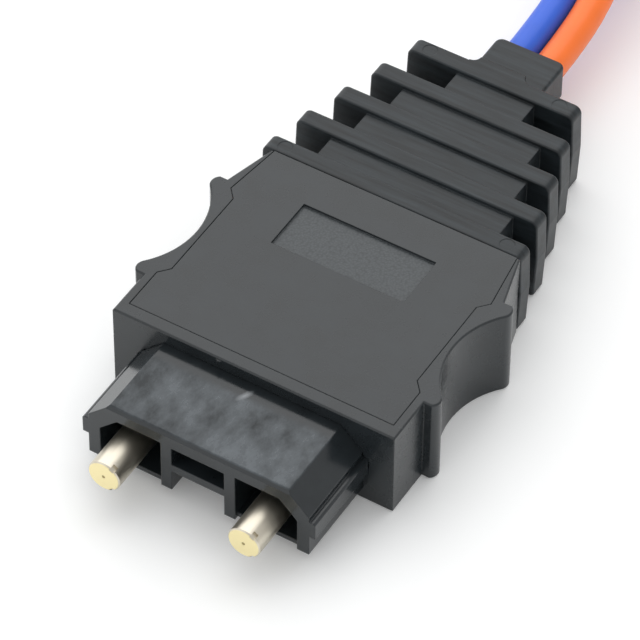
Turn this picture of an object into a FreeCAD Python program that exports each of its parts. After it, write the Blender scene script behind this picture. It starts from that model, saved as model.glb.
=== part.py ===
import FreeCAD, Part
import math
import os

from FreeCAD import Vector

# Two-core push-on fibre optic plug: a flat black housing with a chamfered nose, two sprung
# ferrules, a ribbed strain relief and two loose cords that end in a tied coil.
# Millimetres. +X is to the right, the nose faces -Y and +Z is up. The origin is in the middle of
# the housing's underside. Lengths named "from the front" are counted from the housing's front face.

# Housing
housing_width = 22.2
housing_length = 18.6
housing_height = 7.4
housing_rear_width = 20.0
front_wall = 1.6
rear_wall = 1.3
floor_thickness = 1.0
waist_wall = 1.2
edge_round = 0.2

# Finger grips: a hollow between two ears on each side
ear_reach = 0.93
ear_tip_length = 0.9
ear_outer_rise = 0.33
ear_inner_rise = 0.15
ear_front_root = 3.83
ear_front_tip = 4.45
ear_rear_tip = 13.9
ear_rear_root = 14.55
scallop_depth = 0.85

# Top cover, let into the housing's rim
cover_thickness = 0.7
cover_side_rim = 0.66
cover_front_rim = 1.0
cover_waist_rim = 0.5
cover_rear_rim = 0.2
cover_jog = 0.8
cover_gap = 0.035
cover_bevel = 0.03
label_width = 10.6
label_length = 4.35
label_from_front = 13.1
label_depth = 0.2
peg_diameter = 1.2
peg_length = 2.0
peg_clearance = 0.02
post_diameter = 2.4
front_post_from_front = 4.9
middle_post_from_front = 11.6
rear_post_from_front = 14.3
rear_post_spread = 15.6

# Plug nose
nose_length = 6.8
nose_drop = 1.05
nose_top_width = 14.0
nose_chamfer = 1.7
rail_width = 18.32
rail_shoulder = 0.4
rail_rise = 1.8
rail_bevel = 0.15
nose_wall_width = 17.4
nose_rise = 0.95
nose_front_bevel = 0.25
nose_top_wall = 1.15
nose_side_wall = 0.93
nose_bottom_wall = 0.38
bottom_wall_setback = 0.35
pocket_depth = 5.8
partition_spread = 5.0
partition_thickness = 0.85
keyway_height = 1.85
cross_bar_height = 0.65
window_wall = 1.25
keyway_end_web = 0.6
nose_fit = 0.02
flange_width = 19.5
flange_thickness = 1.2
flange_drop = 0.85
seat_gap = 0.03

# Ferrules, springs and their stop
ferrule_pitch = 11.0
ferrule_diameter = 2.5
ferrule_stickout = 3.05
ferrule_tip_bevel = 0.12
ferrule_free_end = 7.9
ferrule_step = 0.17
ferrule_collar_diameter = 3.36
ferrule_collar_length = 1.0
ferrule_tail_diameter = 2.24
ferrule_tail_length = 4.4
running_clearance = 0.04
shoulder_from_front = 0.6
chamber_diameter = 3.5
chamber_tube_wall = 0.35
tube_floor_gap = 0.05
chamber_end_from_front = 7.0
crimp_notch_width = 0.4
crimp_notch_depth = 0.2
crimp_notch_length = 0.5
spring_coil_diameter = 2.9
spring_wire_diameter = 0.28
spring_turns = 6
spring_seat_gap = 0.02
fibre_diameter = 0.23
fibre_clearance = 0.02
fibre_bare_length = 4.8
buffer_diameter = 0.5
buffer_end_from_front = 12.0
stop_width = 17.6
stop_thickness = 1.2
stop_drop = 1.1
stop_hole_diameter = 1.1
crimp_post_diameter = 2.1
crimp_post_length = 2.2
yarn_thickness = 0.12
yarn_length = 1.9
crimp_ring_length = 4.3
crimp_ring_wall = 0.4
crimp_gap = 0.03
stop_block_length = 1.0
stop_block_height = 4.0

# Cords
cord_diameter = 2.4
jacket_bore_diameter = 1.2
cord_spread = 2.46
cord_exit_rise = 0.3
lead_start_from_front = 10.6
lead_bend_from_front = 14.0
lead_meet_from_front = 23.5

# Strain relief boot
boot_gap = 0.06
boot_shift = -0.42
land_shift = 0.1
rib_count = 5
rib_pitch = 3.44
rib_thickness = 1.4
rib_widths = (21.1, 19.8, 17.8, 15.8, 13.8)
land_widths = (14.7, 13.0, 11.2, 6.3)
rib_inset = 0.05
rib_draft = 0.14
rib_top_corner = 0.6
rib_bottom_corner = 0.25
rib_edge_round = 0.14
land_drop = 0.32
tongue_width = 13.4
tongue_gap = 0.1
boot_flange_width = 15.2
boot_flange_thickness = 1.1
funnel_front_width = 12.7
funnel_front_height = 3.4
funnel_end_from_front = 29.0
channel_clearance = 0.05
neck_length = 4.93
neck_width = 5.6
neck_height = 3.0
neck_corner = 0.6
neck_rim = 0.25
web_width = 3.7
web_flare = 0.6
pin_mark_diameter = 1.1
pin_mark_depth = 0.025
pin_mark_from_end = 1.0
gate_nib_radius = 0.28
gate_nib_reach = 0.12
gate_nib_height = 0.3
gate_nib_offset = -2.6

# Put-away coil of the cords, and its tie
coil_turn_diameter = 24.4
coil_columns = 3
coil_layers = 2
coil_turn_gap = 0.06
coil_centre_y = 66.0
tie_thickness = 0.35
tie_width = 4.0
tie_gap = 0.04

# Places that follow from the sizes above
front_y = -housing_length / 2
rear_y = housing_length / 2
half_width = housing_width / 2
waist_half = half_width - scallop_depth
cavity_half = waist_half - waist_wall
ledge_z = housing_height - cover_thickness
ferrule_z = floor_thickness + tube_floor_gap + chamber_tube_wall + chamber_diameter / 2
cord_exit_height = housing_height / 2 + cord_exit_rise
nose_front_y = front_y - nose_length
nose_top_z = housing_height - nose_drop
nose_bottom_z = nose_rise
rail_top_z = nose_top_z - nose_chamfer - rail_shoulder
rail_bottom_z = nose_bottom_z + rail_rise
flange_front_y = front_y + front_wall + seat_gap
flange_rear_y = flange_front_y + flange_thickness
shoulder_y = front_y + shoulder_from_front
chamber_end_y = front_y + chamber_end_from_front
stop_rear_y = chamber_end_y + stop_thickness
ferrule_tip_y = nose_front_y - ferrule_stickout
ferrule_tail_y = shoulder_y + ferrule_collar_length + ferrule_tail_length
boot_front_y = rear_y + boot_gap
last_rib_rear_y = boot_front_y + (rib_count - 1) * rib_pitch + rib_thickness
neck_end_y = last_rib_rear_y + neck_length
turn_pitch = cord_diameter + coil_turn_gap
sides = {"left": -1, "right": 1}

# Places nearer than this are taken as the same
same_place = 1e-4


def box(x0, x1, y0, y1, z0, z1):
    return Part.makeBox(x1 - x0, y1 - y0, z1 - z0, Vector(x0, y0, z0))


def wide_box(width, y0, y1, z0, z1):
    """A block that is centred on the middle plane."""
    return box(-width / 2, width / 2, y0, y1, z0, z1)


def rod(diameter, x, y0, y1, z):
    """A round bar along Y."""
    return Part.makeCylinder(diameter / 2, y1 - y0, Vector(x, y0, z), Vector(0, 1, 0))


def post(diameter, x, y, z0, z1):
    """A round bar along Z."""
    return Part.makeCylinder(diameter / 2, z1 - z0, Vector(x, y, z0))


def joined(solids):
    """One clean solid from pieces that overlap or touch."""
    return solids[0].multiFuse(solids[1:]).removeSplitter()


def both_sides(half):
    """A half that lies on the +X side of the middle plane, made whole."""
    return joined([half, half.mirror(Vector(0, 0, 0), Vector(1, 0, 0))])


def section_prism(points, y0, y1):
    """A prism along Y from its outline in X and Z."""
    outline = Part.makePolygon([Vector(x, y0, z) for x, z in [*points, points[0]]])
    return Part.Face(outline).extrude(Vector(0, y1 - y0, 0))


def plan_prism(edges, z0, z1):
    """A prism along Z from edges drawn at z = 0."""
    face = Part.Face(Part.Wire(edges))
    face.translate(Vector(0, 0, z0))
    return face.extrude(Vector(0, 0, z1 - z0))


def lines(points):
    return [Part.LineSegment(a, b).toShape() for a, b in zip(points, points[1:])]


def arc(start, middle, end):
    return Part.Arc(start, middle, end).toShape()


def from_front(x, distance):
    """A plan point at a distance behind the housing's front face."""
    return Vector(x, front_y + distance, 0)


def edges_at_height(solid, z):
    """The edges of a solid that lie flat at one height."""
    return [e for e in solid.Edges if abs(e.BoundBox.ZMin - z) + abs(e.BoundBox.ZMax - z) < same_place]


def edges_at_y(solid, y):
    """The edges of a solid that lie in one plane across it."""
    return [e for e in solid.Edges if abs(e.BoundBox.YMin - y) + abs(e.BoundBox.YMax - y) < same_place]


def housing_body():
    """The housing's outer form: straight sides, two ears, a finger hollow and a tapered tail."""
    tip = half_width + ear_reach
    half_tip = ear_tip_length / 2
    front_ear = [
        from_front(tip - ear_outer_rise, ear_front_root),
        from_front(tip, ear_front_tip),
        from_front(tip - ear_inner_rise, ear_front_tip + half_tip),
    ]
    rear_ear = [
        from_front(tip - ear_inner_rise, ear_rear_tip - half_tip),
        from_front(tip, ear_rear_tip),
        from_front(tip - ear_outer_rise, ear_rear_root),
    ]
    waist = from_front(waist_half, (ear_front_tip + ear_rear_tip) / 2)
    outline = lines(
        [
            from_front(0, 0),
            from_front(half_width, 0),
            from_front(half_width, ear_front_root),
            front_ear[0],
        ]
    )
    outline.append(arc(*front_ear))
    outline.append(arc(front_ear[2], waist, rear_ear[0]))
    outline.append(arc(*rear_ear))
    outline += lines(
        [
            rear_ear[2],
            from_front(half_width, ear_rear_root),
            from_front(housing_rear_width / 2, housing_length),
            from_front(0, housing_length),
            from_front(0, 0),
        ]
    )
    body = both_sides(plan_prism(outline, 0, housing_height))
    rims = edges_at_height(body, 0) + edges_at_height(body, housing_height)
    return body.makeChamfer(edge_round / 2, rims)


def cover_blank(gap, z0, z1):
    """The cover's outline, drawn in by a gap all round, as a plate."""
    wide = half_width - cover_side_rim - gap
    narrow = waist_half - cover_waist_rim - gap
    jog_in = ear_front_tip
    jog_out = ear_rear_tip
    points = [
        from_front(0, cover_front_rim + gap),
        from_front(wide, cover_front_rim + gap),
        from_front(wide, jog_in),
        from_front(narrow, jog_in + cover_jog),
        from_front(narrow, jog_out - cover_jog),
        from_front(wide, jog_out),
        from_front(housing_rear_width / 2 - cover_rear_rim - gap, housing_length),
        from_front(0, housing_length),
        from_front(0, cover_front_rim + gap),
    ]
    return both_sides(plan_prism(lines(points), z0, z1))


def nose_section(gap):
    """The nose's outline in X and Z, grown by a gap: flat top, chamfers, shoulders, rails and walls."""
    chamfer_x = nose_top_width / 2 + nose_chamfer
    right = [
        (nose_top_width / 2 + gap / 2, nose_top_z + gap),
        (chamfer_x + gap, nose_top_z - nose_chamfer + gap / 2),
        (chamfer_x + gap, rail_top_z + gap),
        (rail_width / 2 - rail_bevel + gap / 2, rail_top_z + gap),
        (rail_width / 2 + gap, rail_top_z - rail_bevel + gap / 2),
        (rail_width / 2 + gap, rail_bottom_z - gap),
        (nose_wall_width / 2 + gap, rail_bottom_z - gap),
        (nose_wall_width / 2 + gap, nose_bottom_z - gap),
    ]
    return right + [(-x, z) for x, z in reversed(right)]


def post_places():
    """Where the cover's pegs go down into the housing's posts."""
    rear_x = rear_post_spread / 2
    return [
        (0, front_y + front_post_from_front),
        (0, front_y + middle_post_from_front),
        (-rear_x, front_y + rear_post_from_front),
        (rear_x, front_y + rear_post_from_front),
    ]


def lower_housing():
    """The tray that carries everything: front and rear walls, cover ledge, posts and stop blocks."""
    body = housing_body()
    inner_front = front_y + front_wall
    inner_rear = rear_y - rear_wall
    flange_room = wide_box(
        flange_width + 2 * seat_gap, inner_front, flange_rear_y + seat_gap, floor_thickness, ledge_z
    )
    rear_gate = wide_box(
        tongue_width + 2 * tongue_gap, inner_rear, rear_y, floor_thickness, housing_height
    )
    hollows = [
        wide_box(2 * cavity_half, inner_front, inner_rear, floor_thickness, ledge_z),
        flange_room,
        rear_gate,
        cover_blank(0, ledge_z, housing_height),
        section_prism(nose_section(nose_fit), front_y, flange_front_y),
    ]
    tray = body.cut(joined(hollows))
    added = [post(post_diameter, x, y, floor_thickness, ledge_z - seat_gap) for x, y in post_places()]
    block_y = stop_rear_y + seat_gap
    for sign in sides.values():
        inner, outer = sorted((sign * (stop_width / 2 - stop_block_length), sign * cavity_half))
        block_top = floor_thickness + stop_block_height
        added.append(box(inner, outer, block_y, block_y + stop_block_length, floor_thickness, block_top))
    nib_y = front_y + gate_nib_radius - gate_nib_reach
    nib_top = housing_height - edge_round
    nib = post(2 * gate_nib_radius, gate_nib_offset, nib_y, nib_top - gate_nib_height, nib_top)
    tray = joined([tray, *added, nib])
    sockets = [
        post(peg_diameter + 2 * peg_clearance, x, y, ledge_z - peg_length - 2 * peg_clearance, ledge_z)
        for x, y in post_places()
    ]
    return tray.cut(sockets[0].multiFuse(sockets[1:]))


def top_cover():
    """The flush lid with its bare label recess and four pegs."""
    plate = cover_blank(cover_gap, ledge_z, housing_height)
    plate = plate.makeChamfer(cover_bevel, edges_at_height(plate, housing_height))
    label_y = front_y + label_from_front
    recess = wide_box(
        label_width,
        label_y - label_length / 2,
        label_y + label_length / 2,
        housing_height - label_depth,
        housing_height,
    )
    pegs = [post(peg_diameter, x, y, ledge_z - peg_length, ledge_z) for x, y in post_places()]
    return joined([plate.cut(recess), *pegs])


def nose_pockets():
    """What is cut out of the nose from its front: ferrule pockets, key window and keyway."""
    mouth = nose_front_y
    floor_y = nose_front_y + pocket_depth
    key_half = (partition_spread - partition_thickness) / 2
    inner_x = (partition_spread + partition_thickness) / 2
    outer_x = nose_wall_width / 2 - nose_side_wall
    pocket_top = nose_top_z - nose_top_wall
    pocket_floor = nose_bottom_z + nose_bottom_wall
    corner = nose_top_width / 2 + nose_chamfer - outer_x + nose_side_wall / 2
    bar_bottom = nose_bottom_z + keyway_height
    bar_top = bar_bottom + cross_bar_height
    cuts = [
        wide_box(2 * key_half, mouth, floor_y, bar_top, nose_top_z - window_wall),
        wide_box(2 * key_half, mouth, front_y - keyway_end_web, nose_bottom_z, bar_bottom),
    ]
    for sign in sides.values():
        outline = [
            (sign * inner_x, pocket_floor),
            (sign * outer_x, pocket_floor),
            (sign * outer_x, pocket_top - corner),
            (sign * (outer_x - corner), pocket_top),
            (sign * inner_x, pocket_top),
        ]
        cuts.append(section_prism(outline, mouth, floor_y))
        near, far = sorted((sign * inner_x, sign * outer_x))
        cuts.append(box(near, far, mouth, mouth + bottom_wall_setback, nose_bottom_z, pocket_floor))
    return cuts


def plug_frame():
    """The nose with its flange behind the front wall and a spring tube for each ferrule."""
    nose = section_prism(nose_section(0), nose_front_y, flange_front_y)
    top_front = [e for e in edges_at_y(nose, nose_front_y) if e.BoundBox.ZMin > nose_top_z - same_place]
    nose = nose.makeChamfer(nose_front_bevel, top_front)
    flange_low = floor_thickness + seat_gap
    flange_high = housing_height - flange_drop
    pieces = [nose, wide_box(flange_width, flange_front_y, flange_rear_y, flange_low, flange_high)]
    bores = nose_pockets()
    guide = ferrule_diameter - 2 * ferrule_step + 2 * running_clearance
    tube = chamber_diameter + 2 * chamber_tube_wall
    for sign in sides.values():
        x = sign * ferrule_pitch / 2
        pieces.append(rod(tube, x, flange_front_y, chamber_end_y, ferrule_z))
        bores.append(rod(guide, x, nose_front_y, shoulder_y, ferrule_z))
        bores.append(rod(chamber_diameter, x, shoulder_y, chamber_end_y, ferrule_z))
    return joined(pieces).cut(bores[0].multiFuse(bores[1:]))


def ferrule(sign):
    """A turned, plated sleeve: free end, collar that stops on the frame's shoulder, and tail."""
    x = sign * ferrule_pitch / 2
    step_y = ferrule_tip_y + ferrule_free_end
    tip = rod(ferrule_diameter, x, ferrule_tip_y, step_y, ferrule_z)
    collar_end = shoulder_y + ferrule_collar_length
    sleeve = joined(
        [
            tip.makeChamfer(ferrule_tip_bevel, edges_at_y(tip, ferrule_tip_y)),
            rod(ferrule_diameter - 2 * ferrule_step, x, step_y, shoulder_y, ferrule_z),
            rod(ferrule_collar_diameter, x, shoulder_y, collar_end, ferrule_z),
            rod(ferrule_tail_diameter, x, collar_end, ferrule_tail_y, ferrule_z),
        ]
    )
    bare_end = ferrule_tip_y + fibre_bare_length
    cuts = [
        rod(fibre_diameter + 2 * fibre_clearance, x, ferrule_tip_y, bare_end, ferrule_z),
        rod(buffer_diameter + 2 * fibre_clearance, x, bare_end, ferrule_tail_y, ferrule_z),
    ]
    for clock_angle in (35, 145):
        notch = box(
            -crimp_notch_width / 2,
            crimp_notch_width / 2,
            ferrule_tip_y,
            ferrule_tip_y + crimp_notch_length,
            ferrule_diameter / 2 - crimp_notch_depth,
            ferrule_diameter,
        )
        notch.rotate(Vector(0, 0, 0), Vector(0, 1, 0), clock_angle)
        notch.translate(Vector(x, 0, ferrule_z))
        cuts.append(notch)
    return sleeve.cut(cuts[0].multiFuse(cuts[1:]))


def fibre(sign):
    """The glass fibre in the ferrule, and its thicker buffer behind it."""
    x = sign * ferrule_pitch / 2
    bare_end = ferrule_tip_y + fibre_bare_length + fibre_clearance
    return joined(
        [
            rod(fibre_diameter, x, ferrule_tip_y, bare_end, ferrule_z),
            rod(buffer_diameter, x, bare_end, front_y + buffer_end_from_front, ferrule_z),
        ]
    )


def ferrule_spring(sign):
    """A coil spring round the ferrule's tail, between its collar and the stop."""
    start = shoulder_y + ferrule_collar_length + spring_wire_diameter / 2 + spring_seat_gap
    end = chamber_end_y - spring_wire_diameter / 2 - spring_seat_gap
    radius = spring_coil_diameter / 2
    helix = Part.makeHelix((end - start) / spring_turns, end - start, radius)
    climb = Vector(0, 2 * math.pi * radius, (end - start) / spring_turns)
    wire_end = Part.Wire(Part.makeCircle(spring_wire_diameter / 2, Vector(radius, 0, 0), climb))
    spring = Part.Wire(helix).makePipeShell([wire_end], True, True)
    spring.rotate(Vector(0, 0, 0), Vector(1, 0, 0), -90)
    spring.translate(Vector(sign * ferrule_pitch / 2, start, ferrule_z))
    return spring


def spring_stop():
    """The cross plate that closes both spring tubes, with a crimp post behind each."""
    bottom = floor_thickness + seat_gap
    top = housing_height - stop_drop
    pieces = [wide_box(stop_width, chamber_end_y, stop_rear_y, bottom, top)]
    holes = []
    for sign in sides.values():
        x = sign * ferrule_pitch / 2
        post_end = stop_rear_y + crimp_post_length
        pieces.append(rod(crimp_post_diameter, x, stop_rear_y, post_end, ferrule_z))
        holes.append(rod(stop_hole_diameter, x, chamber_end_y, post_end, ferrule_z))
    return joined(pieces).cut(holes[0].multiFuse(holes[1:]))


def hollow_rod(inner, outer, x, y0, y1, z):
    return rod(outer, x, y0, y1, z).cut(rod(inner, x, y0, y1, z))


def strength_yarn(sign):
    """The cord's yarn, folded back over the crimp post."""
    inner = crimp_post_diameter + 2 * crimp_gap
    outer = inner + 2 * yarn_thickness
    start = stop_rear_y + 2 * crimp_gap
    return hollow_rod(inner, outer, sign * ferrule_pitch / 2, start, start + yarn_length, ferrule_z)


def crimp_ring(sign):
    """The metal ring that holds yarn and jacket behind the stop."""
    inner = cord_diameter + 2 * crimp_gap
    outer = inner + 2 * crimp_ring_wall
    start = stop_rear_y + crimp_gap
    return hollow_rod(inner, outer, sign * ferrule_pitch / 2, start, start + crimp_ring_length, ferrule_z)


def rounded_route(points):
    """Straight runs joined by tangent arcs, each as large as its two runs allow, with the radii."""
    share = 0.45
    edges, radii = [], []
    at = points[0]
    for before, corner, after in zip(points, points[1:], points[2:]):
        into, out = corner - before, after - corner
        cut = share * min(into.Length, out.Length)
        half_turn = into.getAngle(out) / 2
        if half_turn < same_place:
            continue
        radius = cut / math.tan(half_turn)
        start = corner - into.normalize() * cut
        end = corner + out.normalize() * cut
        inwards = (start + end) * 0.5 - corner
        middle = corner + inwards.normalize() * (radius / math.cos(half_turn) - radius)
        edges += [Part.LineSegment(at, start).toShape(), arc(start, middle, end)]
        radii.append(radius)
        at = end
    edges.append(Part.LineSegment(at, points[-1]).toShape())
    return Part.Wire(edges), radii


def swept_tube(diameter, points):
    """A round bar along a rounded route."""
    route, radii = rounded_route(points)
    ring = Part.Wire(Part.makeCircle(diameter / 2, points[0], points[1] - points[0]))
    return route.makePipeShell([ring], True, False), route.Length, radii


def jacket_lead(sign):
    """The cord's jacket inside the plug, from the crimp ring to the end of the boot's neck."""
    x, near_x = sign * ferrule_pitch / 2, boot_shift + sign * cord_spread / 2
    points = [
        Vector(x, front_y + lead_start_from_front, ferrule_z),
        Vector(x, front_y + lead_bend_from_front, ferrule_z),
        Vector(near_x, front_y + lead_meet_from_front, cord_exit_height),
        Vector(near_x, neck_end_y, cord_exit_height),
    ]
    outer, _, _ = swept_tube(cord_diameter, points)
    inner, _, _ = swept_tube(jacket_bore_diameter, points)
    return outer.cut(inner)


def rib(width, y):
    """One rib of the boot: drafted ends that meet at a parting line, round corners and edges."""
    low, high = rib_inset, housing_height - rib_inset
    half = width / 2
    end = half - rib_draft
    right = [(end, high), (half, housing_height / 2), (end, low)]
    plate = section_prism(right + [(-x, z) for x, z in reversed(right)], y, y + rib_thickness)
    for corner, z in ((rib_top_corner, high), (rib_bottom_corner, low)):
        ends = [e for e in edges_at_height(plate, z) if e.BoundBox.XLength < same_place]
        plate = plate.makeFillet(corner, ends)
    return plate.makeFillet(rib_edge_round, edges_at_y(plate, y) + edges_at_y(plate, y + rib_thickness))


def neck():
    """The boot's flat tail with a rounded end, and the flared web that joins it to the last rib."""
    low = cord_exit_height - neck_height / 2
    root_y = last_rib_rear_y - rib_thickness / 2
    tail = wide_box(neck_width, root_y, neck_end_y, low, low + neck_height)
    end_corners = [e for e in edges_at_y(tail, neck_end_y) if e.BoundBox.ZLength > neck_height / 2]
    tail = tail.makeFillet(neck_corner, end_corners)
    free_edges = [e for e in tail.Edges if e.BoundBox.YMax > root_y + same_place]
    rims = [e for e in free_edges if e.BoundBox.ZLength < same_place]
    tail = tail.makeFillet(neck_rim, rims)
    half = web_width / 2
    web_end_y = last_rib_rear_y + web_flare
    lean = web_flare * (1 - math.sqrt(0.5))
    flare_start = Vector(half + web_flare, last_rib_rear_y, 0)
    flare_end = Vector(half, web_end_y, 0)
    root_corner = Vector(half + web_flare, root_y, 0)
    outline = lines(
        [flare_end, Vector(0, web_end_y, 0), Vector(0, root_y, 0), root_corner, flare_start]
    )
    outline.append(arc(flare_start, Vector(half + lean, last_rib_rear_y + lean, 0), flare_end))
    web = both_sides(plan_prism(outline, rib_inset, housing_height - rib_inset))
    return joined([tail, web])


def funnel():
    """The boot's hollow: a tapering funnel and then a slot that holds both cords side by side."""
    slot_half = cord_diameter / 2 + channel_clearance
    front = rear_y - rear_wall - boot_flange_thickness - tongue_gap
    end = front_y + funnel_end_from_front

    def rectangle(x, width, height, y, z):
        corners = [(x - width / 2, z - height / 2), (x + width / 2, z - height / 2)]
        corners += [(x + width / 2, z + height / 2), (x - width / 2, z + height / 2)]
        return Part.makePolygon([Vector(xx, y, zz) for xx, zz in [*corners, corners[0]]])

    taper = Part.makeLoft(
        [
            rectangle(0, funnel_front_width, funnel_front_height, front, ferrule_z + cord_exit_rise),
            rectangle(boot_shift, cord_spread + 2 * slot_half, 2 * slot_half, end, cord_exit_height),
        ],
        True,
        True,
    )
    left, right = boot_shift - cord_spread / 2, boot_shift + cord_spread / 2
    slot = [
        box(left, right, end, neck_end_y, cord_exit_height - slot_half, cord_exit_height + slot_half),
        rod(2 * slot_half, left, end, neck_end_y, cord_exit_height),
        rod(2 * slot_half, right, end, neck_end_y, cord_exit_height),
    ]
    return joined([taper, *slot])


def strain_relief_boot():
    """The ribbed boot, held by a flange inside the housing. Its ribs and neck sit a little to the left,
    and the lands between the ribs a little to the right of the ribs' middle."""
    low, high = rib_inset + land_drop, housing_height - rib_inset - land_drop
    inner_wall_y = rear_y - rear_wall
    tongue_low = floor_thickness + tongue_gap
    tongue_high = ledge_z - tongue_gap
    flange_rear = inner_wall_y - tongue_gap
    flange_front = flange_rear - boot_flange_thickness
    tail = [neck()]
    for number, width in enumerate(rib_widths):
        tail.append(rib(width, boot_front_y + number * rib_pitch))
    for number, width in enumerate(land_widths):
        start = boot_front_y + number * rib_pitch + rib_thickness / 2
        middle = land_shift - boot_shift
        tail.append(box(middle - width / 2, middle + width / 2, start, start + rib_pitch, low, high))
    marks = []
    for number in (0, rib_count - 1):
        y = boot_front_y + number * rib_pitch + rib_thickness / 2
        for sign in sides.values():
            x = sign * (rib_widths[number] / 2 - rib_top_corner - pin_mark_from_end)
            top = housing_height - rib_inset
            marks.append(post(pin_mark_diameter, x, y, top - pin_mark_depth, top))
    ribbed = joined(tail).cut(marks[0].multiFuse(marks[1:]))
    ribbed.translate(Vector(boot_shift, 0, 0))
    pieces = [
        ribbed,
        wide_box(boot_flange_width, flange_front, flange_rear, tongue_low, tongue_high),
        wide_box(tongue_width, flange_rear, boot_front_y + rib_thickness / 2, tongue_low, tongue_high),
    ]
    return joined(pieces).cut(funnel())


# Routes of the free cords, from the end of the neck to the outside turn of the coil
cord_routes = {
    "blue": [
        Vector(boot_shift - cord_spread / 2, 29.45, cord_exit_height),
        Vector(boot_shift - cord_spread / 2, 32.05, cord_exit_height),
        Vector(-1.88, 37.25, 4.25),
        Vector(-3.41, 44.48, 3.8),
        Vector(-6.66, 51.13, 2.8),
        Vector(-11.23, 56.58, 1.7),
    ],
    "orange": [
        Vector(boot_shift + cord_spread / 2, 29.45, cord_exit_height),
        Vector(boot_shift + cord_spread / 2, 32.05, cord_exit_height),
        Vector(0.58, 37.25, 4.5),
        Vector(-0.94, 44.4, 5.6),
        Vector(-4.82, 50.61, 6.65),
        Vector(-9.81, 55.11, 6.6),
    ],
}


def free_cord(colour):
    points = cord_routes[colour]
    points[0].y = neck_end_y
    tube, length, radii = swept_tube(cord_diameter, points)
    section = math.pi * cord_diameter**2 / 4
    print(colour, "cord radii", [round(r, 1) for r in radii], "mm")
    print(colour, "cord volume over section times length", round(tube.Volume / (section * length), 4))
    return tube


def coil_ring(level):
    """The outer shape of one cord's turns, lying flat; the two cords' rings lie on each other."""
    middle = coil_turn_diameter / 2
    half_band = coil_columns * turn_pitch / 2
    height = coil_layers * turn_pitch
    centre = Vector(0, coil_centre_y, tie_thickness + level * height)
    return Part.makeCylinder(middle + half_band, height, centre).cut(
        Part.makeCylinder(middle - half_band, height, centre)
    )


def coil_tie():
    """A flat strap round the bundle of turns, on the coil's right side."""
    middle = coil_turn_diameter / 2
    half_band = coil_columns * turn_pitch / 2
    inner_radius = middle - half_band
    bundle_height = 2 * coil_layers * turn_pitch
    inner_x = math.sqrt(inner_radius**2 - (tie_width / 2) ** 2) - tie_gap
    outer_x = middle + half_band + tie_gap
    y0, y1 = coil_centre_y - tie_width / 2, coil_centre_y + tie_width / 2
    top = tie_thickness + bundle_height + tie_gap
    strap = box(inner_x - tie_thickness, outer_x + tie_thickness, y0, y1, 0, top + tie_thickness)
    return strap.cut(box(inner_x, outer_x, y0, y1, tie_thickness, top))


def main():
    nodes = {
        "lower_housing": lower_housing(),
        "top_cover": top_cover(),
        "plug_frame": plug_frame(),
        "spring_stop": spring_stop(),
        "strain_relief_boot": strain_relief_boot(),
        "cord_blue": free_cord("blue"),
        "cord_orange": free_cord("orange"),
        "coil_blue": coil_ring(0),
        "coil_orange": coil_ring(1),
        "coil_tie": coil_tie(),
    }
    for side, sign in sides.items():
        nodes["ferrule_" + side] = ferrule(sign)
        nodes["fibre_" + side] = fibre(sign)
        nodes["ferrule_spring_" + side] = ferrule_spring(sign)
        nodes["strength_yarn_" + side] = strength_yarn(sign)
        nodes["crimp_ring_" + side] = crimp_ring(sign)
        nodes["jacket_lead_" + side] = jacket_lead(sign)
    os.makedirs("parts", exist_ok=True)
    for name, shape in nodes.items():
        print(name, len(shape.Solids), "solid, valid", shape.isValid(), round(shape.Volume, 3), "mm3")
        shape.exportStep("parts/" + name + ".step")


main()
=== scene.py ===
"""Looks of a two-core push-on fibre optic plug with a blue and an orange cord.

The plug lies on a white table, its nose towards the camera, under one large soft light from
behind on the left and a weak one from the front. Lengths in the text are millimetres;
Blender's own units are metres.
"""

import math

import bpy
import numpy as np
from mathutils import Matrix, Vector


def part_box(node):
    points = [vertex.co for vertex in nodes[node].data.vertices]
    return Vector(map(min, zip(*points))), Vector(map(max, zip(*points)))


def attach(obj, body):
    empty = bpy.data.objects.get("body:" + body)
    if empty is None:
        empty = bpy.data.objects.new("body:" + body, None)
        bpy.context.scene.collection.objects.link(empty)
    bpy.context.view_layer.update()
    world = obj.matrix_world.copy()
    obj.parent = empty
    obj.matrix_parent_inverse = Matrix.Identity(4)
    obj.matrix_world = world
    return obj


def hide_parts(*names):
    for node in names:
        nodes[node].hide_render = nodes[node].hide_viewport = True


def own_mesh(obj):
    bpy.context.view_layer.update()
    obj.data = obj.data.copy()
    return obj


MM = 0.001

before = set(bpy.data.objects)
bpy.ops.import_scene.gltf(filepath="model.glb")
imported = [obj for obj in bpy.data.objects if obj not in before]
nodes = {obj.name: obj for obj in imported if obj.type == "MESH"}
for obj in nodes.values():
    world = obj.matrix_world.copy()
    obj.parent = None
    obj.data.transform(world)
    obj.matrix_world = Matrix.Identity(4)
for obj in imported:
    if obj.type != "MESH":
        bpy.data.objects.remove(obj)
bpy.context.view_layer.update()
scene = bpy.context.scene
scene.view_settings.view_transform = "Standard"

# Camera: its angles, its place seen from the housing's top front edge, its focal length in pixels
IMAGE_SIDE = 640
CAMERA_AZIMUTH = 31.06
CAMERA_ELEVATION = 47.22
CAMERA_ROLL = 0.6
CAMERA_DISTANCE = 302.6
CAMERA_RIGHT = 4.557
CAMERA_UP = 3.55
FOCAL_PIXELS = 4535.0
SENSOR = 36.0
NEAREST_SEEN = 10.0
FARTHEST_SEEN = 10000.0

# The lid's front edge lies this far behind the housing's
COVER_SETBACK = 1.035

housing_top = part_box("lower_housing")[1].z
ferrule_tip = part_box("ferrule_left")[0].y
housing_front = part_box("top_cover")[0].y - COVER_SETBACK * MM
top_front_edge = Vector((0.0, housing_front, housing_top))


def direction_to_camera(azimuth, elevation):
    """Unit vector from the object to a camera at these angles in degrees; 0, 0 looks along +Y."""
    a, e = math.radians(azimuth), math.radians(elevation)
    return Vector((math.sin(a) * math.cos(e), -math.cos(a) * math.cos(e), math.sin(e)))


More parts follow.
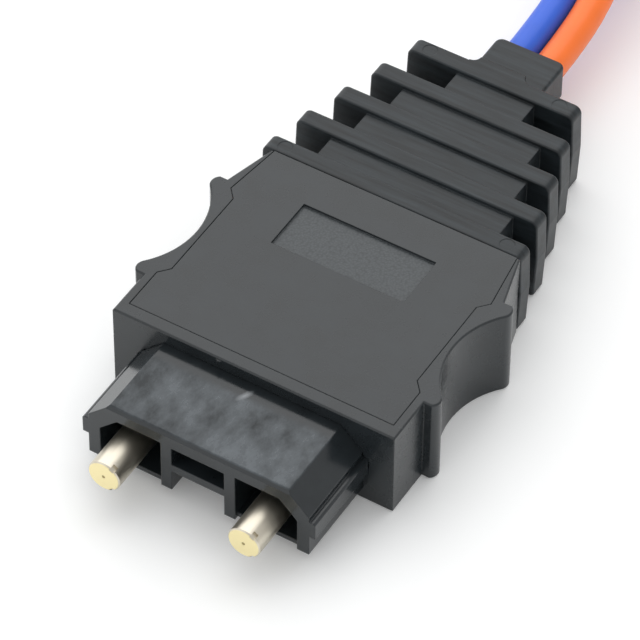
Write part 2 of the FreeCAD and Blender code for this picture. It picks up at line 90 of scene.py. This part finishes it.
def make_camera():
    """A long lens whose right, up and back axes come from azimuth, elevation and roll."""
    back = direction_to_camera(CAMERA_AZIMUTH, CAMERA_ELEVATION)
    azimuth = math.radians(CAMERA_AZIMUTH)
    level = Vector((math.cos(azimuth), math.sin(azimuth), 0.0))
    upright = back.cross(level)
    roll = math.radians(CAMERA_ROLL)
    right = level * math.cos(roll) + upright * math.sin(roll)
    up = upright * math.cos(roll) - level * math.sin(roll)
    offset = right * CAMERA_RIGHT + up * CAMERA_UP + back * CAMERA_DISTANCE
    turned = Matrix((right, up, back)).transposed().to_4x4()
    data = bpy.data.cameras.new("camera")
    data.sensor_width = SENSOR
    data.lens = FOCAL_PIXELS / IMAGE_SIDE * SENSOR
    data.clip_start = NEAREST_SEEN * MM
    data.clip_end = FARTHEST_SEEN * MM
    camera = bpy.data.objects.new("camera", data)
    scene.collection.objects.link(camera)
    camera.matrix_world = Matrix.Translation(top_front_edge + offset * MM) @ turned
    scene.camera = camera


make_camera()


def linear(hex_colour):
    """An sRGB hex colour as linear red, green, blue and alpha."""
    srgb = np.array([int(hex_colour[i : i + 2], 16) for i in (1, 3, 5)]) / 255
    low, high = srgb / 12.92, ((srgb + 0.055) / 1.055) ** 2.4
    return (*np.where(srgb <= 0.04045, low, high), 1.0)


def add(material, kind, settings=None, **inputs):
    """Adds a node. Settings are its properties; inputs are values or other nodes' sockets by name.
    An input name's underscores are spaces, and a name such as i1 gives the socket's number."""
    tree = material.node_tree
    node = tree.nodes.new("ShaderNode" + kind)
    for name, value in (settings or {}).items():
        setattr(node, name, value)
    for name, value in inputs.items():
        numbered = name[0] == "i" and name[1:].isdigit()
        socket = node.inputs[int(name[1:]) if numbered else name.replace("_", " ")]
        if isinstance(value, bpy.types.NodeSocket):
            tree.links.new(value, socket)
        else:
            socket.default_value = value
    return node


def coordinates(material):
    """The place of a point in the object's own frame, in metres."""
    return add(material, "TexCoord").outputs["Object"]


def noise(material, place, size, **inputs):
    """Noise from 0 to 1 whose grains are about so many millimetres large."""
    made = add(material, "TexNoise", Vector=place, Scale=per_metre(size), **inputs)
    return made.outputs["Fac"]


def ramp(material, value, **limits):
    """A value taken from one range to another, both 0 to 1 unless the limits say otherwise."""
    return add(material, "MapRange", Value=value, **limits).outputs[0]


def math_of(material, operation, first, second):
    """Two values put together by an operation."""
    return add(material, "Math", {"operation": operation}, i0=first, i1=second).outputs[0]


def mix_colours(material, factor, first, second, blend="MIX"):
    """The first colour where the factor is 0, the second, or their blend, where it is 1."""
    settings = {"data_type": "RGBA", "blend_type": blend}
    return add(material, "Mix", settings, i0=factor, i6=first, i7=second).outputs["Result"]


def mix_values(material, factor, first, second):
    """The first value where the factor is 0, the second where it is 1."""
    settings = {"data_type": "FLOAT"}
    return add(material, "Mix", settings, i0=factor, i2=first, i3=second).outputs["Result"]


def new_material(name):
    """An empty node material."""
    material = bpy.data.materials.new(name)
    material.use_nodes = True
    material.node_tree.nodes.clear()
    return material


def finish_material(material, **inputs):
    """Gives the material its surface, a principled shader with these inputs."""
    shader = add(material, "BsdfPrincipled", **inputs)
    add(material, "OutputMaterial", Surface=shader.outputs[0])
    return material


def shader_of(material):
    """The material's principled shader."""
    return next(node for node in material.node_tree.nodes if node.type == "BSDF_PRINCIPLED")


def source_of(material, name):
    """The socket that feeds one of the shader's inputs."""
    return shader_of(material).inputs[name].links[0].from_socket


def feed(material, name, socket):
    """Feeds one of the shader's inputs from a socket, in place of what fed it."""
    material.node_tree.links.new(socket, shader_of(material).inputs[name])


def per_metre(millimetres):
    """The texture scale at which a pattern repeats about every so many millimetres."""
    return 1 / (millimetres * MM)


# Cords: the routes' points between the boot and the coil, then the turns of the coil
CORD_DIAMETER = 2.4
COIL_CENTRE = (0.0, 66.0)
COIL_PITCH = 2.46
COIL_COLUMNS = 3
COIL_OUTER_RADIUS = 14.66
COIL_LIFT = 0.35
COIL_STEADY_SHARE = 0.75
POINTS_PER_TURN = 24
CORD_ROUTES = {
    "blue": [
        (-1.65, 29.45, 4.0),
        (-1.65, 32.05, 4.0),
        (-1.88, 37.25, 4.25),
        (-3.41, 44.48, 3.8),
        (-6.66, 51.13, 2.8),
        (-11.23, 56.58, 1.7),
    ],
    "orange": [
        (0.81, 29.45, 4.0),
        (0.81, 32.05, 4.0),
        (0.58, 37.25, 4.5),
        (-0.94, 44.4, 5.6),
        (-4.82, 50.61, 6.65),
        (-9.81, 55.11, 6.6),
    ],
}
COIL_LEVEL = {"blue": 0, "orange": 1}


def coil_turns(colour):
    """Points of a coil of two flat layers, wound clockwise from the route's end, in and back out.
    A turn keeps to its column for a steady share and moves one column in the rest."""
    last_x, last_y, _ = CORD_ROUTES[colour][-1]
    start = math.atan2(last_y - COIL_CENTRE[1], last_x - COIL_CENTRE[0])
    turn = np.arange(1, 2 * COIL_COLUMNS * POINTS_PER_TURN + 1) / POINTS_PER_TURN
    share = (turn % 1 - COIL_STEADY_SHARE) / (1 - COIL_STEADY_SHARE)
    moved = np.floor(turn) + np.clip(share, 0, 1)
    column = np.where(moved <= COIL_COLUMNS - 1, moved, 2 * COIL_COLUMNS - 1 - moved)
    column = np.clip(column, 0, COIL_COLUMNS - 1)
    layer = np.clip(moved - (COIL_COLUMNS - 1), 0, 1)
    radius = COIL_OUTER_RADIUS - column * COIL_PITCH
    angle = start - 2 * math.pi * turn
    height = COIL_LIFT + COIL_PITCH * (2 * COIL_LEVEL[colour] + 0.5 + layer)
    x = COIL_CENTRE[0] + radius * np.cos(angle)
    y = COIL_CENTRE[1] + radius * np.sin(angle)
    return np.stack([x, y, height], axis=1)


def make_cord(colour, material):
    """A round jacket on one smooth spline: out of the boot, to the coil and round its turns."""
    points = np.concatenate([CORD_ROUTES[colour], coil_turns(colour)]) * MM
    data = bpy.data.curves.new("jacket_" + colour, "CURVE")
    data.dimensions = "3D"
    spline = data.splines.new("NURBS")
    spline.points.add(len(points) - 1)
    spline.points.foreach_set("co", np.column_stack([points, np.ones(len(points))]).ravel())
    spline.order_u = 3
    spline.use_endpoint_u = True
    spline.resolution_u = 4
    data.bevel_depth = CORD_DIAMETER / 2 * MM
    data.bevel_resolution = 6
    data.use_fill_caps = True
    cord = bpy.data.objects.new("jacket_" + colour, data)
    scene.collection.objects.link(cord)
    data.materials.append(material)
    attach(cord, "plug_body")
    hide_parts("cord_" + colour, "coil_" + colour)


def jacket_material(name, hex_colour):
    """Extruded cord jacket: a smooth, slightly soft sheath whose colour drifts along it."""
    material = new_material(name)
    place = coordinates(material)
    drift = noise(material, place, 3.0, Detail=2.0)
    shade = ramp(material, drift, To_Min=0.88, To_Max=1.1)
    fine = noise(material, place, 0.25, Detail=3.0)
    ripple = add(material, "Bump", Strength=0.12, Distance=0.02 * MM, Height=fine)
    return finish_material(
        material,
        Base_Color=mix_colours(material, 1.0, linear(hex_colour), shade, "MULTIPLY"),
        Roughness=ramp(material, fine, To_Min=0.32, To_Max=0.46),
        IOR=1.5,
        Normal=ripple.outputs[0],
    )


blue_jacket = jacket_material("extruded_pvc_blue", "#2860D8")
orange_jacket = jacket_material("extruded_pvc_orange", "#FF7828")
make_cord("blue", blue_jacket)
make_cord("orange", orange_jacket)

BLACK_PBT = "#212629"
BLACK_ELASTOMER = "#1F2427"
PLASTIC_SHINE = 0.5
RUBBER_SHINE = 0.34


def moulded(name, hex_colour, roughness, cloud, grain_depth, edge_round, shine=PLASTIC_SHINE):
    """Black injection moulded plastic: a fine spark-eroded grain, flow clouds that change its
    gloss, and edges that are a little round, so that they catch the light."""
    material = new_material(name)
    place = coordinates(material)
    clouds = noise(material, place, 2.2, Detail=4.0, Roughness=0.6)
    tone = ramp(material, clouds, To_Min=0.55, To_Max=1.5)
    gloss = ramp(
        material,
        clouds,
        From_Min=0.3,
        From_Max=0.7,
        To_Min=roughness - cloud,
        To_Max=roughness + cloud,
    )
    rounded = add(material, "Bevel", {"samples": 6}, Radius=edge_round * MM)
    bump = add(
        material,
        "Bump",
        Strength=0.4,
        Distance=grain_depth * MM,
        Height=noise(material, place, 0.16, Detail=2.0),
        Normal=rounded.outputs[0],
    )
    return finish_material(
        material,
        Base_Color=mix_colours(material, 1.0, linear(hex_colour), tone, "MULTIPLY"),
        Roughness=gloss,
        IOR=1.5,
        Specular_IOR_Level=shine,
        Normal=bump.outputs[0],
    )


def drawn_rubber():
    """The boot's elastomer shines less than the housing, and polishing lines in its mould, coarser
    here than they are so that they show, have left faint streaks across the ribs."""
    material = moulded(
        "moulded_elastomer_boot",
        BLACK_ELASTOMER,
        roughness=0.38,
        cloud=0.05,
        grain_depth=0.008,
        edge_round=0.12,
        shine=RUBBER_SHINE,
    )
    black = source_of(material, "Base Color")
    drawn = add(material, "Mapping", Vector=coordinates(material), Scale=(0.06, 1.0, 0.6))
    streaks = noise(material, drawn.outputs[0], 0.35, Detail=3.0, Roughness=0.6)
    tone = ramp(material, streaks, From_Min=0.3, From_Max=0.7, To_Min=0.5, To_Max=1.7)
    feed(material, "Base Color", mix_colours(material, 1.0, black, tone, "MULTIPLY"))
    return material


# The floor of the label recess lies deeper below the lid's top than the second of these depths
RECESS_DEPTHS = (0.12, 0.16)


def lid_plastic():
    """The lid is the housing's plastic, with a duller grain eroded into the floor of its recess."""
    material = moulded(
        "moulded_pbt_lid", BLACK_PBT, roughness=0.28, cloud=0.04, grain_depth=0.006, edge_round=0.08
    )
    black = source_of(material, "Base Color")
    gloss = source_of(material, "Roughness")
    grain = source_of(material, "Normal")
    place = coordinates(material)
    recess = ramp(
        material,
        add(material, "SeparateXYZ", Vector=place).outputs["Z"],
        From_Min=housing_top - RECESS_DEPTHS[0] * MM,
        From_Max=housing_top - RECESS_DEPTHS[1] * MM,
    )
    cells = add(material, "TexVoronoi", Vector=place, Scale=per_metre(0.17), Randomness=1.0)
    sparks = cells.outputs["Distance"]
    grey = mix_colours(material, sparks, linear("#454A4D"), linear("#2A2F32"))
    pits = add(
        material,
        "Bump",
        Strength=0.3,
        Distance=0.03 * MM,
        Height=math_of(material, "MULTIPLY", recess, sparks),
        Normal=grain,
    )
    feed(material, "Base Color", mix_colours(material, recess, black, grey))
    feed(material, "Roughness", mix_values(material, recess, gloss, 0.4))
    feed(material, "Normal", pits.outputs[0])
    return material


# Wear on the nose: how far its flat top lies below the housing's and within what depths it counts
# as flat, the strip at the housing that stays clean, the strokes' angle in radians, and the place,
# size and angle of one pale rub mark
NOSE_DROP = 1.05
FLAT_DEPTHS = (0.1, 0.02)
CLEAN_REAR = 1.1
CLEAN_FADE = 0.5
STROKE_SIZE = 2.6
STROKE_ANGLE = 0.5
RUB_PLACE = (0.2, -10.45)
RUB_SIZE = (0.95, 0.4)
RUB_ANGLE = 1.14


def scuffed_nose():
    """The nose is a glossier black. Its flat top is dulled in patches and short strokes by being
    pushed home, up to a clean strip at the housing, and one pale rub mark lies near its middle."""
    material = moulded(
        "moulded_pbt_nose",
        BLACK_PBT,
        roughness=0.17,
        cloud=0.03,
        grain_depth=0.004,
        edge_round=0.14,
    )
    black = source_of(material, "Base Color")
    gloss = source_of(material, "Roughness")
    place = coordinates(material)
    parts = add(material, "SeparateXYZ", Vector=place)
    nose_top = housing_top - NOSE_DROP * MM
    flat_top = ramp(
        material,
        parts.outputs["Z"],
        From_Min=nose_top - FLAT_DEPTHS[0] * MM,
        From_Max=nose_top - FLAT_DEPTHS[1] * MM,
    )
    clean_edge = housing_front - CLEAN_REAR * MM
    forward = ramp(
        material,
        parts.outputs["Y"],
        From_Min=clean_edge,
        From_Max=clean_edge - CLEAN_FADE * MM,
    )
    rubbed = math_of(material, "MULTIPLY", flat_top, forward)
    drawn = add(
        material, "Mapping", Vector=place, Rotation=(0.0, 0.0, STROKE_ANGLE), Scale=(1.0, 0.6, 1.0)
    )
    strokes = noise(material, drawn.outputs[0], STROKE_SIZE, Detail=8.0, Roughness=0.68)
    patches = ramp(material, strokes, From_Min=0.37, From_Max=0.72)
    worn = math_of(material, "MULTIPLY", patches, rubbed)
    handled = ramp(material, patches, To_Min=0.3, To_Max=0.66)
    centred = add(
        material,
        "Mapping",
        {"vector_type": "TEXTURE"},
        Vector=place,
        Location=(RUB_PLACE[0] * MM, RUB_PLACE[1] * MM, nose_top),
        Rotation=(0.0, 0.0, RUB_ANGLE),
        Scale=(RUB_SIZE[0] * MM, RUB_SIZE[1] * MM, MM),
    )
    reach = add(material, "VectorMath", {"operation": "LENGTH"}, Vector=centred.outputs[0])
    broken = math_of(material, "ADD", reach.outputs["Value"], strokes)
    rub = ramp(material, broken, From_Min=1.35, From_Max=0.6)
    dulled = mix_colours(material, worn, black, linear("#525A60"))
    feed(material, "Base Color", mix_colours(material, rub, dulled, linear("#8A8E92")))
    feed(material, "Specular IOR Level", mix_values(material, rubbed, PLASTIC_SHINE, handled))
    feed(material, "Roughness", mix_values(material, worn, gloss, 0.34))
    return material


# A ferrule's end face reaches back from its tip between these two lengths
END_FACE_REACH = (0.05, 0.02)


def plated_ferrule():
    """Nickel plated brass tube, turned: a bright warm metal, fine rings round it, and on the end
    face the bare brass that grinding has laid open."""
    material = new_material("nickel_plated_brass")
    along = add(material, "SeparateXYZ", Vector=coordinates(material)).outputs["Y"]
    end_face = ramp(
        material,
        along,
        From_Min=ferrule_tip + END_FACE_REACH[0] * MM,
        From_Max=ferrule_tip + END_FACE_REACH[1] * MM,
    )
    rings = add(material, "TexNoise", {"noise_dimensions": "1D"}, W=along, Scale=per_metre(0.12))
    bump = add(material, "Bump", Strength=0.15, Distance=0.005 * MM, Height=rings.outputs["Fac"])
    return finish_material(
        material,
        Base_Color=mix_colours(material, end_face, linear("#D6CFBF"), linear("#F6E9B8")),
        Metallic=1.0,
        Roughness=ramp(material, end_face, To_Min=0.34, To_Max=0.45),
        Normal=bump.outputs[0],
    )


def grained(name, hex_dark, hex_light, size, roughness, metallic=0.0):
    """A plain material whose colour moves between two tones in grains of a given size."""
    material = new_material(name)
    grain = noise(material, coordinates(material), size, Detail=3.0)
    bump = add(material, "Bump", Strength=0.2, Distance=0.01 * MM, Height=grain)
    return finish_material(
        material,
        Base_Color=mix_colours(material, grain, linear(hex_dark), linear(hex_light)),
        Metallic=metallic,
        Roughness=roughness,
        Normal=bump.outputs[0],
    )


housing_plastic = moulded(
    "moulded_pbt_housing", BLACK_PBT, roughness=0.27, cloud=0.04, grain_depth=0.006, edge_round=0.12
)
nose_plastic = scuffed_nose()
ferrule_metal = plated_ferrule()
fibre_glass = grained("silica_fibre_in_epoxy", "#B9A96E", "#8F7C46", size=0.1, roughness=0.25)
spring_steel = grained(
    "drawn_spring_steel", "#8A8B8E", "#B9BABD", size=0.2, roughness=0.3, metallic=1.0
)
crimp_metal = grained(
    "drawn_aluminium_tube", "#A9ABAE", "#C8CACD", size=0.3, roughness=0.35, metallic=1.0
)
yarn = grained("aramid_yarn", "#B78A22", "#E2BE55", size=0.12, roughness=0.7)
strap = grained("woven_nylon_strap", "#17181A", "#2B2C2F", size=0.4, roughness=0.75)

NODE_MATERIALS = {
    "lower_housing": housing_plastic,
    "top_cover": lid_plastic(),
    "plug_frame": nose_plastic,
    "spring_stop": nose_plastic,
    "strain_relief_boot": drawn_rubber(),
    "coil_tie": strap,
    "jacket_lead_left": blue_jacket,
    "jacket_lead_right": orange_jacket,
}
for side in ("left", "right"):
    NODE_MATERIALS["ferrule_" + side] = ferrule_metal
    NODE_MATERIALS["fibre_" + side] = fibre_glass
    NODE_MATERIALS["ferrule_spring_" + side] = spring_steel
    NODE_MATERIALS["crimp_ring_" + side] = crimp_metal
    NODE_MATERIALS["strength_yarn_" + side] = yarn
for name, material in NODE_MATERIALS.items():
    mesh = nodes[name].data
    mesh.materials.clear()
    mesh.materials.append(material)


def make_spring(side):
    """A coil spring behind a ferrule: a copy of the CAD spring, carried by the plug body."""
    name = "ferrule_spring_" + side
    spring = bpy.data.objects.new("coil_spring_" + side, nodes[name].data.copy())
    scene.collection.objects.link(spring)
    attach(spring, "plug_body")
    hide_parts(name)
    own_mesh(spring)


make_spring("left")
make_spring("right")

# Table and lights; the table reaches so many metres from the middle each way
TABLE_REACH = 3.0
TABLE_LIFT = 0.08
SURROUND_STRENGTH = 0.74
WHITE = (1.0, 1.0, 1.0, 1.0)


def make_floor():
    """A white table top. Seen directly or in a reflection it is lifted a little towards white."""
    corners = np.array([(-1, -1), (1, -1), (1, 1), (-1, 1)]) * TABLE_REACH
    mesh = bpy.data.meshes.new("table")
    mesh.from_pydata([(x, y, 0.0) for x, y in corners], [], [(0, 1, 2, 3)])
    table = bpy.data.objects.new("table", mesh)
    scene.collection.objects.link(table)
    material = new_material("white_table_top")
    ray = add(material, "LightPath").outputs
    direct = math_of(material, "MAXIMUM", ray["Is Camera Ray"], ray["Is Glossy Ray"])
    seen = math_of(material, "MAXIMUM", direct, ray["Is Transmission Ray"])
    finish_material(
        material,
        Base_Color=linear("#FBFCFC"),
        Roughness=0.8,
        Emission_Color=WHITE,
        Emission_Strength=math_of(material, "MULTIPLY", seen, TABLE_LIFT),
    )
    mesh.materials.append(material)


def make_light(name, azimuth, elevation, distance, size, watts):
    """A square soft light that points at the plug from a direction given as for the camera.
    Its distance and size are in metres."""
    data = bpy.data.lights.new(name, "AREA")
    data.size = size
    data.energy = watts
    lamp = bpy.data.objects.new(name, data)
    scene.collection.objects.link(lamp)
    toward = direction_to_camera(azimuth, elevation)
    turned = toward.to_track_quat("Z", "Y").to_matrix().to_4x4()
    lamp.matrix_world = Matrix.Translation(toward * distance) @ turned


def make_world():
    """An even pale surround that lights from all sides."""
    world = bpy.data.worlds.new("pale_studio")
    world.use_nodes = True
    world.node_tree.nodes.clear()
    surround = add(world, "Background", Color=WHITE, Strength=SURROUND_STRENGTH)
    add(world, "OutputWorld", Surface=surround.outputs[0])
    scene.world = world


make_floor()
make_world()
make_light("window_light", azimuth=211.0, elevation=47.0, distance=0.9, size=1.2, watts=5.5)
make_light("front_fill_light", azimuth=-35.0, elevation=22.0, distance=0.9, size=0.8, watts=0.9)
